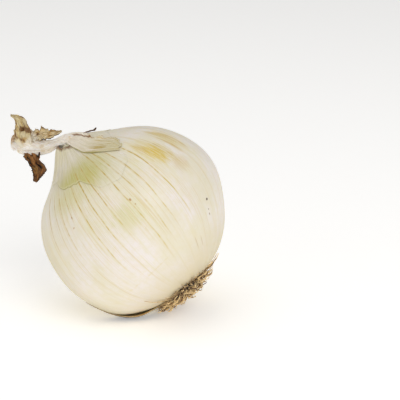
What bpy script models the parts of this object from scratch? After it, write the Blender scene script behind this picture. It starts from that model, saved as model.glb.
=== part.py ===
"""A large white onion lying on its side, built in metres with +Z up.

Its pieces are the bulb, the torn remains of the outer skin, the dried neck with its withered leaves, and
the roots. The origin is the middle of the small flat spot that the bulb rests on.

Points on and near the bulb are given by theta, the angle down from the neck, phi, the angle round the
bulb's axis, and lift, the distance outside the bulb's surface.
"""

import math

import bmesh
import bpy
from mathutils import Matrix, Vector

# The bulb, a slightly flattened globe that rises to the neck and dips at the roots.
EQUATOR_RADIUS = 0.045
HALF_HEIGHT = 0.914 * EQUATOR_RADIUS
NECK_RISE = 0.14 * EQUATOR_RADIUS
NECK_SPREAD = 0.30
ROOT_DIP = 0.03 * EQUATOR_RADIUS
ROOT_SPREAD = 0.38
ROOT_SWAY = 0.048 * EQUATOR_RADIUS
BULB_RINGS = 30
BULB_COLUMNS = 52

# How the onion lies: its axis leans towards -X and a little towards +Y, and is rolled so that phi 90
# degrees faces the front.
AXIS_TILT = math.radians(43.3)
AXIS_HEADING = math.radians(164.7)
AXIS_ROLL = math.radians(23.3)
FLAT_DEPTH = 0.0013

# The neck and its leaves spread in a plane that leans back from the vertical.
NECK_REACH = 0.985 * EQUATOR_RADIUS
NECK_PLANE_LEAN = math.radians(18.0)

# Thin layers, and the clearance that keeps them off what they lie on.
GAP = 0.0004
SKIN = 0.0005
LEAF = 0.0006

# The collar: theta of its rim and how far the rim stands up on the side where the neck bends over, then
# its torn lower edge as pairs of phi and theta, all in degrees.
RIM_THETA = 12.0
RIM_STAND = 0.0022
TORN_EDGE = (
    (0, 21), (42, 27), (56, 34), (62, 40), (74, 44), (80, 45), (83, 52), (90, 60), (100, 61), (112, 52),
    (122, 43), (140, 29), (165, 22), (195, 27), (210, 23), (245, 30), (262, 24), (300, 22), (330, 26),
    (360, 21),
)

# Roots.
MAT_SPREAD = 0.34
MAT_HEIGHT = 0.0036
ROOT_STUB = 0.0026
ROOT_THICKNESS = 0.0010
FLOOR_CLEARANCE = 0.0004


def clear_scene():
    for obj in list(bpy.data.objects):
        bpy.data.objects.remove(obj)


def finish(name, colour, roughness):
    """A plain material of this colour and roughness."""
    made = bpy.data.materials.new(name)
    made.use_nodes = True
    shader = made.node_tree.nodes["Principled BSDF"]
    shader.inputs["Base Color"].default_value = (*colour, 1.0)
    shader.inputs["Roughness"].default_value = roughness
    shader.inputs["Metallic"].default_value = 0.0
    return made


def add_mesh(name, mesh_data, frame, material, sharp_deg=40.0):
    """Links a bmesh as a smooth-shaded object of that name, placed by its frame empty."""
    mesh = bpy.data.meshes.new(name)
    bmesh.ops.recalc_face_normals(mesh_data, faces=mesh_data.faces)
    mesh_data.to_mesh(mesh)
    mesh_data.free()
    mesh.shade_smooth()
    mesh.set_sharp_from_angle(angle=math.radians(sharp_deg))
    if material:
        mesh.materials.append(material)
    obj = bpy.data.objects.new(name, mesh)
    bpy.context.scene.collection.objects.link(obj)
    obj.parent = frame
    return obj


def add_frame(name, matrix):
    frame = bpy.data.objects.new(name, None)
    bpy.context.scene.collection.objects.link(frame)
    frame.matrix_world = matrix
    return frame


def bell(angle, spread):
    """A smooth bump, 1 at angle 0 and fading out past the spread."""
    return math.exp(-((angle / spread) ** 2))


def skin_point(theta, phi):
    """A point on the bulb's surface, in the bulb's own frame."""
    height = HALF_HEIGHT * math.cos(theta)
    height += NECK_RISE * bell(theta, NECK_SPREAD) + ROOT_DIP * bell(math.pi - theta, ROOT_SPREAD)
    radius = EQUATOR_RADIUS * math.sin(theta)
    sway = ROOT_SWAY * ((1.0 - height / EQUATOR_RADIUS) / 2.0) ** 2
    return Vector((radius * math.cos(phi) + sway, radius * math.sin(phi), height))


def bulb_point(theta, phi, lift=0.0):
    """A point at that lift outside the bulb."""
    step = 1e-3
    around = Vector((-math.sin(phi), math.cos(phi), 0.0))
    down = skin_point(theta + step, phi) - skin_point(theta - step, phi)
    return skin_point(theta, phi) + down.cross(around).normalized() * lift


def smooth_path(points, share):
    """The point at this share, 0 to 1, of a Catmull-Rom curve through points of any dimension."""
    points = [Vector(p) for p in points]
    place = min(max(share, 0.0), 1.0) * (len(points) - 1)
    i = min(int(place), len(points) - 2)
    t = place - i
    a, b, c, d = (points[min(max(k, 0), len(points) - 1)] for k in (i - 1, i, i + 1, i + 2))
    return 0.5 * (2 * b + (c - a) * t + (2 * a - 5 * b + 4 * c - d) * t**2 + (3 * b - a - 3 * c + d) * t**3)


def grid_solid(under, over, rows, columns, ring=False):
    """A closed thin solid between two surfaces, each a function of (u, v) from 0 to 1.

    With ring, u runs right round and its ends meet.
    """
    made = bmesh.new()
    across = columns if ring else columns + 1
    layers = []
    for surface in (under, over):
        layer = []
        for j in range(rows + 1):
            layer.append([made.verts.new(surface(i / columns, j / rows)) for i in range(across)])
        layers.append(layer)
        for j in range(rows):
            for i in range(columns):
                k = (i + 1) % across
                made.faces.new((layer[j][i], layer[j][k], layer[j + 1][k], layer[j + 1][i]))
    low, high = layers
    for i in range(columns):
        k = (i + 1) % across
        for j in (0, rows):
            made.faces.new((low[j][i], low[j][k], high[j][k], high[j][i]))
    if not ring:
        for j in range(rows):
            for i in (0, columns):
                made.faces.new((low[j][i], low[j + 1][i], high[j + 1][i], high[j][i]))
    return made


def bulb_mesh(lift=lambda theta, phi: 0.0):
    """The whole bulb as rings from neck to roots, closed at both poles, with that lift."""
    made = bmesh.new()
    top = made.verts.new(bulb_point(0.0, 0.0, lift(0.0, 0.0)))
    bottom = made.verts.new(bulb_point(math.pi, 0.0, lift(math.pi, 0.0)))
    rings = []
    for j in range(1, BULB_RINGS):
        theta = math.pi * j / BULB_RINGS
        turns = [2 * math.pi * i / BULB_COLUMNS for i in range(BULB_COLUMNS)]
        rings.append([made.verts.new(bulb_point(theta, phi, lift(theta, phi))) for phi in turns])
    for i in range(BULB_COLUMNS):
        k = (i + 1) % BULB_COLUMNS
        made.faces.new((top, rings[0][i], rings[0][k]))
        made.faces.new((bottom, rings[-1][k], rings[-1][i]))
        for upper, lower in zip(rings, rings[1:]):
            made.faces.new((upper[i], lower[i], lower[k], upper[k]))
    return made


def make_bulb(frame, material):
    """The bulb, cut level where it rests."""
    made = bulb_mesh()
    to_bulb = frame.matrix_world.inverted()
    floor_point = to_bulb @ Vector((0.0, 0.0, 0.0))
    floor_down = to_bulb.to_3x3() @ Vector((0.0, 0.0, -1.0))
    everything = made.verts[:] + made.edges[:] + made.faces[:]
    cut = bmesh.ops.bisect_plane(
        made, geom=everything, plane_co=floor_point, plane_no=floor_down, clear_outer=True
    )
    rim = [g for g in cut["geom_cut"] if isinstance(g, bmesh.types.BMEdge)]
    bmesh.ops.holes_fill(made, edges=rim)
    return add_mesh("bulb", made, frame, material, sharp_deg=8.0)


def torn_edge(degrees):
    """Theta of the collar's ragged lower edge at this phi, both in degrees."""
    for (start, theta), (end, next_theta) in zip(TORN_EDGE, TORN_EDGE[1:]):
        if start <= degrees <= end:
            return theta + (next_theta - theta) * (degrees - start) / (end - start)
    return TORN_EDGE[0][1]


def rim_stand(theta, phi):
    """How far the collar stands off the bulb near its rim."""
    side = bell(math.remainder(phi - 0.15, 2 * math.pi), 1.1)
    return RIM_STAND * side * bell(theta - math.radians(RIM_THETA), 0.14)


def make_collar(frame, material):
    """What is left of the outermost scale: it hugs the shoulder and stands up as a rim round the neck."""

    def layer(extra):
        def surface(u, v):
            phi = 2 * math.pi * u
            theta = math.radians(RIM_THETA + (torn_edge(360 * u) - RIM_THETA) * v)
            return bulb_point(theta, phi, GAP + rim_stand(theta, phi) + extra)

        return surface

    return add_mesh("torn_collar", grid_solid(layer(0.0), layer(SKIN), 8, 72, ring=True), frame, material)


# The sheath tongue: at each theta, the phi where it starts and ends, in degrees.
TONGUE = ((13, 96, 168), (19, 96, 150), (26, 99, 137), (34, 107, 133), (40, 112, 129), (46, 119, 124))


def make_sheath_tongue(frame, material):
    """The dry sheath at the foot of the neck, which runs out over the collar as a tongue."""

    def layer(extra):
        def surface(u, v):
            theta, start, end = smooth_path(TONGUE, v)
            lift = 2 * GAP + SKIN + 0.0010 * bell(v, 0.35) * math.sin(math.pi * u) + extra
            return bulb_point(math.radians(theta), math.radians(start + (end - start) * u), lift)

        return surface

    return add_mesh("sheath_tongue", grid_solid(layer(0.0), layer(SKIN), 12, 10), frame, material)


def make_back_shred(frame, material):
    """A torn strip of skin behind the neck, dried dark, whose free end lifts off the shoulder."""

    def layer(extra):
        def surface(u, v):
            theta = math.radians(13.5 + 8.0 * v)
            phi = math.radians(171.0 + 24.0 * u)
            lift = 2 * GAP + SKIN + 0.0006 + 0.0012 * v + 0.0004 * u * (1 - u) + extra
            return bulb_point(theta, phi, lift)

        return surface

    return add_mesh("back_shred", grid_solid(layer(0.0), layer(SKIN), 6, 5), frame, material)


def make_base_skin(frame, material):
    """A loose strip of outer skin under the bulb, still held at the roots."""

    def layer(extra):
        def surface(u, v):
            theta = math.radians(155.0 - 29.0 * v)
            half_width = math.radians(11.0 - 7.0 * v)
            phi = math.radians(17.0) + half_width * (2 * u - 1)
            return bulb_point(theta, phi, GAP + 0.0003 * math.sin(math.pi * v) + extra)

        return surface

    return add_mesh("base_skin", grid_solid(layer(0.0), layer(SKIN), 8, 5), frame, material)


# The dried neck: along its middle, each row is x, y, half height and half depth, in millimetres in the
# neck's plane.
NECK_LINE = (
    (1.5, 3.4, 3.4, 4.6),
    (-2.0, 2.7, 3.3, 4.6),
    (-5.0, 1.9, 2.7, 4.0),
    (-7.5, 1.4, 2.1, 3.2),
    (-10.5, 0.2, 2.8, 2.8),
    (-13.5, -0.4, 3.3, 2.9),
    (-17.0, -0.1, 4.2, 3.0),
    (-20.5, 0.7, 4.5, 2.9),
    (-24.0, 1.7, 4.0, 2.6),
    (-27.9, 2.4, 2.2, 1.6),
)
MILLIMETRE = 0.001


def tube_mesh(rings):
    """A closed tube through rings of points, capped at both ends."""
    made = bmesh.new()
    loops = [[made.verts.new(point) for point in ring] for ring in rings]
    for near, far in zip(loops, loops[1:]):
        for i in range(len(near)):
            k = (i + 1) % len(near)
            made.faces.new((near[i], near[k], far[k], far[i]))
    made.faces.new(loops[0])
    made.faces.new(reversed(loops[-1]))
    return made


def make_keep_out(frame):
    """A hidden solid round the bulb and collar that the neck's foot is trimmed against."""
    made = bulb_mesh(lambda theta, phi: 2 * GAP + SKIN + rim_stand(theta, phi))
    keep_out = add_mesh("keep_out", made, frame, None)
    keep_out.hide_render = True
    keep_out.display_type = "WIRE"
    return keep_out


def make_dry_neck(frame, material, keep_out):
    """The withered stalk, an oval tube with shallow folds along it, bent over to one side."""
    steps, sides, folds = 22, 20, 5
    rings = []
    for j in range(steps + 1):
        share = j / steps
        x, y, half_height, half_depth = smooth_path(NECK_LINE, share) * MILLIMETRE
        ahead = smooth_path(NECK_LINE, share + 0.02) - smooth_path(NECK_LINE, share - 0.02)
        along = Vector((ahead[0], ahead[1], 0.0)).normalized()
        upward = Vector((along.y, -along.x, 0.0))
        outward = Vector((0.0, 0.0, 1.0))
        ring = []
        for i in range(sides):
            angle = 2 * math.pi * i / sides
            fold = 1.0 + 0.07 * math.cos(folds * angle + 3.0 * share)
            offset = upward * half_height * math.cos(angle) + outward * half_depth * math.sin(angle)
            ring.append(Vector((x, y, 0.0)) + offset * fold)
        rings.append(ring)
    neck = add_mesh("dry_neck", tube_mesh(rings), frame, material, sharp_deg=60.0)
    trim = neck.modifiers.new("foot", "BOOLEAN")
    trim.operation = "DIFFERENCE"
    trim.solver = "EXACT"
    trim.object = keep_out
    return neck


def leaf_mesh(line, cup, rows=10, columns=4):
    """A thin withered leaf. Each row of line is x, y, z, half width and twist in degrees, in millimetres."""

    def layer(extra):
        def surface(u, v):
            x, y, z, half_width, twist = smooth_path(line, v)
            ahead = smooth_path(line, v + 0.03) - smooth_path(line, v - 0.03)
            along = Vector(ahead[:3]).normalized()
            side = along.cross(Vector((0.0, 0.0, 1.0))).normalized()
            side.rotate(Matrix.Rotation(math.radians(twist), 3, along))
            face = side.cross(along)
            place = 2 * u - 1
            point = Vector((x, y, z)) + side * half_width * place + face * cup * half_width * place**2
            return point * MILLIMETRE + face * extra

        return surface

    return grid_solid(layer(0.0), layer(LEAF), rows, columns)


# Each leaf: its middle line, how deeply it is cupped, and its colour.
LEAVES = {
    "curled_leaf_tip": (
        (
            (-22.3, 6.4, 0.3, 3.9, 8),
            (-22.5, 8.6, 0.9, 3.8, 12),
            (-23.2, 11.2, 1.2, 2.8, 18),
            (-25.3, 13.4, 0.9, 1.5, 22),
            (-28.0, 14.5, 0.2, 0.5, 25),
        ),
        0.30,
        (0.55, 0.42, 0.20),
    ),
    "side_leaf": (
        (
            (-15.6, 6.3, 0.8, 2.0, 12),
            (-12.5, 6.0, 1.6, 2.2, 10),
            (-9.2, 5.9, 1.8, 1.7, 5),
            (-4.6, 7.0, 1.2, 0.4, 0),
        ),
        0.25,
        (0.48, 0.34, 0.18),
    ),
    "hanging_leaf": (
        (
            (-18.3, -5.3, 1.0, 3.4, 10),
            (-17.9, -7.4, 1.2, 2.5, 20),
            (-15.6, -10.4, 1.6, 3.2, 15),
            (-15.9, -13.4, 1.4, 2.0, 8),
            (-16.8, -16.2, 1.2, 0.6, 0),
        ),
        0.35,
        (0.14, 0.06, 0.02),
    ),
}


def keep_off_floor(mesh_data, frame):
    """Lifts the points that would lie lower than the bulb's flat spot."""
    place = frame.matrix_world
    for vert in mesh_data.verts:
        point = place @ vert.co
        point.z = max(point.z, FLOOR_CLEARANCE)
        vert.co = place.inverted() @ point


def make_root_mat(frame, material):
    """The root plate with its dense mat of short dry roots, as one bristly pad on the bulb's foot."""
    columns, rows = 40, 8
    made = bmesh.new()

    def edge(phi):
        return MAT_SPREAD * (1.0 + 0.07 * math.sin(5 * phi + 0.4) + 0.05 * math.sin(11 * phi))

    def layer(lift_at):
        pole = made.verts.new(bulb_point(math.pi - 1e-4, 0.0, lift_at(0.0)))
        loops = []
        for j in range(1, rows + 1):
            share = j / rows
            turns = (2 * math.pi * i / columns for i in range(columns))
            points = (bulb_point(math.pi - share * edge(phi), phi, lift_at(share)) for phi in turns)
            loops.append([made.verts.new(point) for point in points])
        faces = []
        for i in range(columns):
            k = (i + 1) % columns
            made.faces.new((pole, loops[0][i], loops[0][k]))
            for inner, outer in zip(loops, loops[1:]):
                faces.append(made.faces.new((inner[i], outer[i], outer[k], inner[k])))
        return loops[-1], faces

    under, _ = layer(lambda share: GAP)
    over, pad = layer(lambda share: GAP + 0.0010 + MAT_HEIGHT * math.sqrt(1.0 - share**2))
    for i in range(columns):
        k = (i + 1) % columns
        made.faces.new((under[i], under[k], over[k], over[i]))
    bmesh.ops.recalc_face_normals(made, faces=made.faces)
    for i, face in enumerate(pad):
        if (i + i // 7) % 2 == 0:
            normal = face.normal.copy()
            reach = ROOT_STUB * (0.6 + 0.4 * math.sin(2.4 * i))
            tip = bmesh.ops.poke(made, faces=[face])["verts"][0]
            tip.co += normal * reach
    keep_off_floor(made, frame)
    return add_mesh("root_mat", made, frame, material, sharp_deg=30.0)


# Long single roots outside the mat. Each row is the start's phi and the turn along the root, in degrees,
# then the reach in theta and how far the tip lifts, in millimetres.
LONG_ROOTS = (
    (52, -2, 0.38, 0.5),
    (66, -3, 0.25, 0.9),
    (84, -5, 0.18, 1.2),
    (101, -7, 0.15, 1.4),
    (117, 5, 0.13, 1.8),
    (136, -8, 0.16, 1.6),
    (158, 6, 0.20, 2.2),
    (174, -6, 0.24, 2.8),
    (205, -14, 0.30, 2.2),
    (236, 12, 0.24, 1.6),
    (268, -9, 0.26, 1.2),
    (300, 8, 0.10, 0.6),
)


def make_long_root(number, row, frame, material):
    """One dry root, a tapering cord that starts at the mat's edge and lies along the bulb."""
    start, turn, reach, tip_lift = row
    steps, sides = 9, 6

    def middle(share):
        theta = math.pi - MAT_SPREAD * 1.26 - reach * share
        phi = math.radians(start + turn * share**2)
        return bulb_point(theta, phi, GAP + ROOT_THICKNESS + tip_lift * MILLIMETRE * share**2)

    rings = []
    for i in range(steps + 1):
        share = i / steps
        along = (middle(share + 0.02) - middle(share - 0.02)).normalized()
        side = along.orthogonal().normalized()
        radius = 0.5 * ROOT_THICKNESS * (1.0 - 0.45 * share)
        angles = (2 * math.pi * k / sides for k in range(sides))
        turned = (Matrix.Rotation(angle, 3, along) @ side for angle in angles)
        rings.append([middle(share) + arm * radius for arm in turned])
    return add_mesh(f"long_root_{number:02d}", tube_mesh(rings), frame, material)


def lowest_point(turn):
    """Where the tilted bulb would touch the floor, relative to its centre."""
    thetas = (math.pi * (0.5 + j / 360) for j in range(180))
    phis = [2 * math.pi * i / 360 for i in range(360)]
    return min((turn @ skin_point(theta, phi) for theta in thetas for phi in phis), key=lambda p: p.z)


def main():
    clear_scene()
    turn = (
        Matrix.Rotation(AXIS_HEADING, 3, "Z")
        @ Matrix.Rotation(AXIS_TILT, 3, "Y")
        @ Matrix.Rotation(AXIS_ROLL, 3, "Z")
    )
    foot = lowest_point(turn)
    foot *= 1.0 - FLAT_DEPTH / -foot.z
    centre = -foot
    bulb_frame = add_frame("bulb_frame", Matrix.Translation(centre) @ turn.to_4x4())
    neck_foot = centre + turn @ Vector((0.0, 0.0, NECK_REACH))
    lean = Matrix.Rotation(math.pi / 2 - NECK_PLANE_LEAN, 4, "X")
    neck_frame = add_frame("neck_frame", Matrix.Translation(neck_foot) @ lean)

    make_bulb(bulb_frame, finish("bulb_skin", (0.80, 0.76, 0.60), 0.38))
    make_collar(bulb_frame, finish("collar_skin", (0.58, 0.54, 0.30), 0.42))
    make_sheath_tongue(bulb_frame, finish("tongue_skin", (0.62, 0.56, 0.40), 0.55))
    make_back_shred(bulb_frame, finish("shred_skin", (0.16, 0.08, 0.04), 0.60))
    make_base_skin(bulb_frame, finish("base_skin", (0.50, 0.36, 0.18), 0.60))
    make_dry_neck(neck_frame, finish("neck_skin", (0.66, 0.56, 0.42), 0.62), make_keep_out(bulb_frame))
    for name, (line, cup, colour) in LEAVES.items():
        add_mesh(name, leaf_mesh(line, cup), neck_frame, finish(f"{name}_skin", colour, 0.60))
    make_root_mat(bulb_frame, finish("root_mat", (0.36, 0.23, 0.09), 0.75))
    dry_root = finish("dry_root", (0.42, 0.28, 0.12), 0.72)
    for number, row in enumerate(LONG_ROOTS, start=1):
        make_long_root(number, row, bulb_frame, dry_root)


main()
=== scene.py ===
import math
import random

import bmesh
import bpy
import numpy as np
from mathutils import Matrix, Vector


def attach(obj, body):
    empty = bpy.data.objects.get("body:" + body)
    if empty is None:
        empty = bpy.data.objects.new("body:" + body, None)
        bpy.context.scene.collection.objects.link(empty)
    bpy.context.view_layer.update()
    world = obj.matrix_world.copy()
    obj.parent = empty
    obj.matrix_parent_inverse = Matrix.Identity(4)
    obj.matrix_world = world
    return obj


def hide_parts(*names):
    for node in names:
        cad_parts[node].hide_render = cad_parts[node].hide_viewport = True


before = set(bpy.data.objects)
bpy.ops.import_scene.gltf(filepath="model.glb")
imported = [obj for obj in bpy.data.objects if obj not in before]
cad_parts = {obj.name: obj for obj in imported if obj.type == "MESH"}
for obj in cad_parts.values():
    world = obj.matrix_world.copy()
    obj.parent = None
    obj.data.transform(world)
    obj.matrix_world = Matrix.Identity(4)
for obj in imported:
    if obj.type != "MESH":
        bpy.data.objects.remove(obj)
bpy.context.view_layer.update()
print("frame loaded with", len(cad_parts), "nodes")


mm = 0.001

# Places on the bulb are given by down, degrees from the neck towards the roots, around, degrees round the
# bulb with 90 at the front, and lift, metres outside the skin.
bulbShape = {
    "radius": 45.0 * mm,
    "halfHeight": 0.914,  # this and the next five are shares of the radius, the spreads are radians
    "neckRise": 0.14,
    "neckSpread": 0.30,
    "rootDip": 0.03,
    "rootSpread": 0.38,
    "rootSway": 0.048,
    "lean": 43.3,  # degrees, how the axis leans, turns and rolls
    "heading": 164.7,
    "roll": 23.3,
    "flatDepth": 1.3 * mm,  # of the spot that it rests on
    "neckReach": 0.985,  # share of the radius, where the dried neck starts
    "neckLean": 72.0,  # degrees that the neck's plane stands up from the ground
}


def bell(value, spread):  # 1 at 0, fading out past the spread
    return np.exp(-np.square(value / spread))


def smooth(value, low, high):  # 0 below low, 1 above high
    t = np.clip((value - low) / (high - low), 0.0, 1.0)
    return t * t * (3.0 - 2.0 * t)


def wrapped(degrees):  # -180 to 180
    return (degrees + 180.0) % 360.0 - 180.0


def plainSkin(down, around):
    s = bulbShape
    theta, phi = np.radians(down), np.radians(around)
    height = s["halfHeight"] * np.cos(theta) + s["neckRise"] * bell(theta, s["neckSpread"])
    height = height + s["rootDip"] * bell(math.pi - theta, s["rootSpread"])
    across = np.sin(theta)
    sway = s["rootSway"] * np.square((1.0 - height) / 2.0)
    places = np.stack([across * np.cos(phi) + sway, across * np.sin(phi), height], -1)
    return places * s["radius"]


def unit(vectors):
    return vectors / np.maximum(np.linalg.norm(vectors, axis=-1, keepdims=True), 1e-12)


def skinNormal(down, around):
    ahead = plainSkin(down + 0.05, around) - plainSkin(down - 0.05, around)
    phi = np.radians(around)
    side = np.stack([-np.sin(phi), np.cos(phi), np.zeros_like(phi)], -1)
    return unit(np.cross(ahead, side))


def onSkin(down, around, lift=0.0):
    down, around = np.broadcast_arrays(np.asarray(down, float), np.asarray(around, float))
    lift = np.broadcast_to(np.asarray(lift, float), down.shape)
    return plainSkin(down, around) + skinNormal(down, around) * lift[..., None]


def bulbPlacement():
    s = bulbShape
    turn = Matrix.Rotation(math.radians(s["heading"]), 3, "Z")
    turn = turn @ Matrix.Rotation(math.radians(s["lean"]), 3, "Y")
    turn = turn @ Matrix.Rotation(math.radians(s["roll"]), 3, "Z")
    downs, arounds = np.meshgrid(np.arange(90.0, 180.0, 0.5), np.arange(0.0, 360.0, 1.0))
    places = plainSkin(downs.ravel(), arounds.ravel()) @ np.array(turn).T
    foot = Vector(places[np.argmin(places[:, 2])])
    foot *= 1.0 - s["flatDepth"] / -foot.z
    return Matrix.Translation(-foot) @ turn.to_4x4()


bulbFrame = bulbPlacement()
bulbCentre = bulbFrame.translation
neckFoot = bulbFrame @ Vector((0, 0, bulbShape["neckReach"] * bulbShape["radius"]))
neckTurn = Matrix.Rotation(math.radians(bulbShape["neckLean"]), 4, "X")
neckFrame = Matrix.Translation(neckFoot) @ neckTurn
print("bulb placed, its middle at", [round(c / mm, 1) for c in bulbCentre], "mm")


def aboveFloor(places, frameMatrix, level=0.0):
    # presses anything that would pass below the resting flat up onto it
    turn = np.array(frameMatrix.to_3x3())
    world = places @ turn.T + np.array(frameMatrix.translation)
    world[..., 2] = np.maximum(world[..., 2], level)
    return (world - np.array(frameMatrix.translation)) @ turn


def through(points, share):  # a smooth curve through points of any width; share runs 0 to 1
    points, share = np.asarray(points, float), np.asarray(share, float)
    last = len(points) - 1
    place = np.clip(share, 0.0, 1.0) * last
    i = np.minimum(place.astype(int), last - 1)
    t = (place - i)[..., None]
    a, b, c, d = (points[np.clip(i + k, 0, last)] for k in (-1, 0, 1, 2))
    bend, turn = 2 * a - 5 * b + 4 * c - d, 3 * b - a - 3 * c + d
    return 0.5 * (2 * b + (c - a) * t + bend * t**2 + turn * t**3)


def ripple(x, y, seed, waves=7):  # smooth wandering, mostly between -1 and 1
    chance = random.Random(seed)
    total = 0.0
    for _ in range(waves):
        turn, rate = chance.uniform(0, 2 * math.pi), chance.uniform(0.6, 2.4)
        along = x * math.cos(turn) + y * math.sin(turn)
        total = total + np.sin(rate * along + chance.uniform(0, 2 * math.pi))
    return total / math.sqrt(waves)


def crease(x):  # sharp valleys between round ridges, -1 to 0
    return -(1.0 - np.abs(np.sin(x))) ** 2


def newPiece(name, places, faces, frameMatrix, cornerMap=None, values=None):
    # the points are given in frameMatrix's axes and kept in the world's
    turn, shift = np.array(frameMatrix.to_3x3()), np.array(frameMatrix.translation)
    mesh = bpy.data.meshes.new(name)
    mesh.from_pydata((np.asarray(places) @ turn.T + shift).tolist(), [], faces)
    mesh.shade_smooth()
    if cornerMap is not None:
        layer = mesh.uv_layers.new(name="skinMap")
        layer.data.foreach_set("uv", np.asarray(cornerMap, np.float32).ravel())
    for key, numbers in (values or {}).items():
        made = mesh.attributes.new(key, "FLOAT", "POINT")
        made.data.foreach_set("value", np.asarray(numbers, np.float32).ravel())
    mesh.validate()
    if len(faces) > 1:  # every closed skin faces outwards
        work = bmesh.new()
        work.from_mesh(mesh)
        bmesh.ops.recalc_face_normals(work, faces=work.faces)
        work.to_mesh(mesh)
        work.free()
    piece = bpy.data.objects.new(name, mesh)
    bpy.context.scene.collection.objects.link(piece)
    return piece


def gridFaces(rows, columns, ring, start=0, flip=False):
    # quads of a grid of points, and each corner's (column, row)
    across = columns if ring else columns - 1
    faces, corners = [], []
    for j in range(rows - 1):
        for i in range(across):
            k = (i + 1) % columns
            quad = [start + j * columns + i, start + (j + 1) * columns + i]
            quad += [start + (j + 1) * columns + k, start + j * columns + k]
            spots = [(i, j), (i, j + 1), (i + 1, j + 1), (i + 1, j)]
            faces.append(quad[::-1] if flip else quad)
            corners += spots[::-1] if flip else spots
    return faces, corners


def sheetPiece(name, surface, rows, columns, thickness, frameMatrix, ring=False, mapOf=None, values=None):
    # a closed thin sheet; surface(u, v) gives its outer face, and thickness is taken off inwards
    u = np.arange(columns) / (columns if ring else columns - 1)
    v = np.arange(rows) / (rows - 1)
    uu, vv = np.meshgrid(u, v)
    outer = surface(uu, vv)
    step = 1e-4
    along = surface(uu, np.minimum(vv + step, 1.0)) - surface(uu, np.maximum(vv - step, 0.0))
    across = surface(uu + step, vv) - surface(uu - step, vv)
    outward = unit(np.cross(along, across))
    thick = thickness(uu, vv) if callable(thickness) else thickness
    thick = np.broadcast_to(np.asarray(thick, float), uu.shape)
    inner = outer - outward * thick[..., None]
    count = rows * columns
    places = np.concatenate([outer.reshape(-1, 3), inner.reshape(-1, 3)])
    faces, corners = gridFaces(rows, columns, ring)
    more, moreCorners = gridFaces(rows, columns, ring, start=count, flip=True)
    faces += more
    corners += moreCorners
    across = columns if ring else columns - 1
    for j in (0, rows - 1):
        for i in range(across):
            k = (i + 1) % columns
            edge = [j * columns + i, j * columns + k, count + j * columns + k, count + j * columns + i]
            spots = [(i, j), (i + 1, j), (i + 1, j), (i, j)]
            faces.append(edge if j == 0 else edge[::-1])
            corners += spots if j == 0 else spots[::-1]
    if not ring:
        for i in (0, columns - 1):
            for j in range(rows - 1):
                edge = [j * columns + i, (j + 1) * columns + i]
                edge += [count + (j + 1) * columns + i, count + j * columns + i]
                spots = [(i, j), (i, j + 1), (i, j + 1), (i, j)]
                faces.append(edge[::-1] if i == 0 else edge)
                corners += spots[::-1] if i == 0 else spots
    cornerMap = np.array(corners, float)
    cornerMap[:, 0] /= columns if ring else columns - 1
    cornerMap[:, 1] /= rows - 1
    if mapOf is not None:
        cornerMap = np.stack(mapOf(cornerMap[:, 0], cornerMap[:, 1]), -1)
    carried = {}
    for key, rule in (values or {}).items():
        numbers = np.broadcast_to(rule(uu, vv), uu.shape).ravel()
        carried[key] = np.concatenate([numbers, numbers])
    inside = 1.0 - smooth(uu, 0.7, 0.9)  # all but one edge; a look with an inner colour paints shade on this inner face
    carried["inner"] = np.concatenate([np.zeros(count), inside.ravel()])
    return newPiece(name, places, faces, frameMatrix, cornerMap, carried)


def tone(red, green, blue):  # 0 to 255 as seen on a screen
    def linear(c):
        c /= 255.0
        return c / 12.92 if c <= 0.04045 else ((c + 0.055) / 1.055) ** 2.4

    return (linear(red), linear(green), linear(blue), 1.0)


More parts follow.
